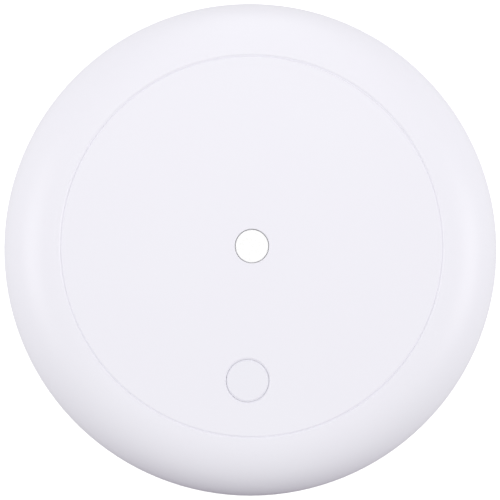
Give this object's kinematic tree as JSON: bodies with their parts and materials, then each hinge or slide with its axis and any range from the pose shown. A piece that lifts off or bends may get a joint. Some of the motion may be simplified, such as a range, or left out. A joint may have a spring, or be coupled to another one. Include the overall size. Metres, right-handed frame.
{
  "type": "glass break detector",
  "caption": "Round battery-powered acoustic glass break detector: a rolled-rim cover with a sound port and a test button snaps onto a wall base.",
  "frame": {"origin": "centre of the rear base's wall face", "axes": "+Z out of the wall through the front face, +Y up the wall, so the test button lies towards -Y"},
  "size_m": [0.086, 0.086, 0.026],
  "materials": {
    "cover_abs": "fine satin moulded ABS",
    "button_abs": "fine satin moulded ABS",
    "base_abs": "fine satin moulded ABS",
    "sintered_plug": "white porous sintered polyethylene",
    "boot_silicone": "soft matte silicone",
    "capsule_aluminium": "drawn aluminium can",
    "black_felt": "felt",
    "green_board": "solder-masked glass-fibre laminate",
    "zinc_screws": "zinc-plated steel",
    "black_nylon": "glass-filled nylon",
    "white_nylon": "moulded nylon",
    "blue_nylon": "moulded nylon",
    "black_epoxy": "moulded epoxy",
    "tinned_leads": "tin-plated copper alloy",
    "tinned_steel": "tin-plated steel sheet",
    "nickel_steel": "nickel-plated spring steel",
    "nickel_can": "nickel-plated can",
    "capacitor_can": "aluminium can",
    "led_lens": "clear epoxy over phosphor",
    "chip_ceramic": "ceramic and thick film",
    "cell_sleeve": "shrink sleeve over a steel can"
  },
  "bodies": {
    "base": {"rear_base": "base_abs", "snap_arms": "base_abs", "microphone_boot": "boot_silicone", "microphone_capsule": "capsule_aluminium", "microphone_leads": "tinned_leads", "microphone_felt": "black_felt", "circuit_board": "green_board", "board_screws": "zinc_screws", "test_switch_body": "black_nylon", "test_switch_plate": "tinned_steel", "tamper_switch_body": "black_nylon", "tamper_switch_plate": "tinned_steel", "switch_leads": "tinned_leads", "dip_switch_body": "blue_nylon", "controller_body": "black_epoxy", "controller_leads": "tinned_leads", "radio_shield": "tinned_steel", "radio_chip": "black_epoxy", "timing_crystal": "nickel_can", "capacitor_base": "black_epoxy", "bulk_capacitor": "capacitor_can", "status_led_body": "white_nylon", "status_led_lens": "led_lens", "antenna_strip": "tinned_steel", "chip_components": "chip_ceramic", "battery_cell": "cell_sleeve", "battery_contact_positive": "nickel_steel", "battery_contact_negative": "nickel_steel", "battery_spring": "nickel_steel"},
    "cover": {"front_cover": "cover_abs", "acoustic_plug": "sintered_plug"},
    "button": {"test_button": "button_abs"},
    "test_plunger": {"test_switch_plunger": "black_nylon"},
    "tamper_plunger": {"tamper_plunger": "white_nylon"},
    "slider_1": {"dip_slider_1": "white_nylon"},
    "slider_2": {"dip_slider_2": "white_nylon"}
  },
  "joints": [
    {"name": "cover_lift", "type": "slide", "parent": "base", "child": "cover", "axis": [0, 0, 1], "range_m": [0, 0.045], "deforming": ["snap_arms"]},
    {"name": "button_press", "type": "slide", "parent": "cover", "child": "button", "axis": [0, 0, -1], "range_m": [0, 0.0005], "stiffness_N_per_m": 400, "springref_m": -0.0005},
    {"name": "test_plunger_press", "type": "slide", "parent": "base", "child": "test_plunger", "axis": [0, 0, -1], "range_m": [0, 0.0005]},
    {"name": "tamper_plunger_rise", "type": "slide", "parent": "base", "child": "tamper_plunger", "axis": [0, 0, 1], "range_m": [0, 0.001]},
    {"name": "slider_1_set", "type": "slide", "parent": "base", "child": "slider_1", "axis": [0, 1, 0], "range_m": [0, 0.0014]},
    {"name": "slider_2_set", "type": "slide", "parent": "base", "child": "slider_2", "axis": [0, 1, 0], "range_m": [0, 0.0014]}
  ],
  "couplings": [
    {"joint": "test_plunger_press", "follows": "button_press", "ratio": 1},
    {"joint": "tamper_plunger_rise", "follows": "cover_lift", "ratio": 0.0222}
  ]
}
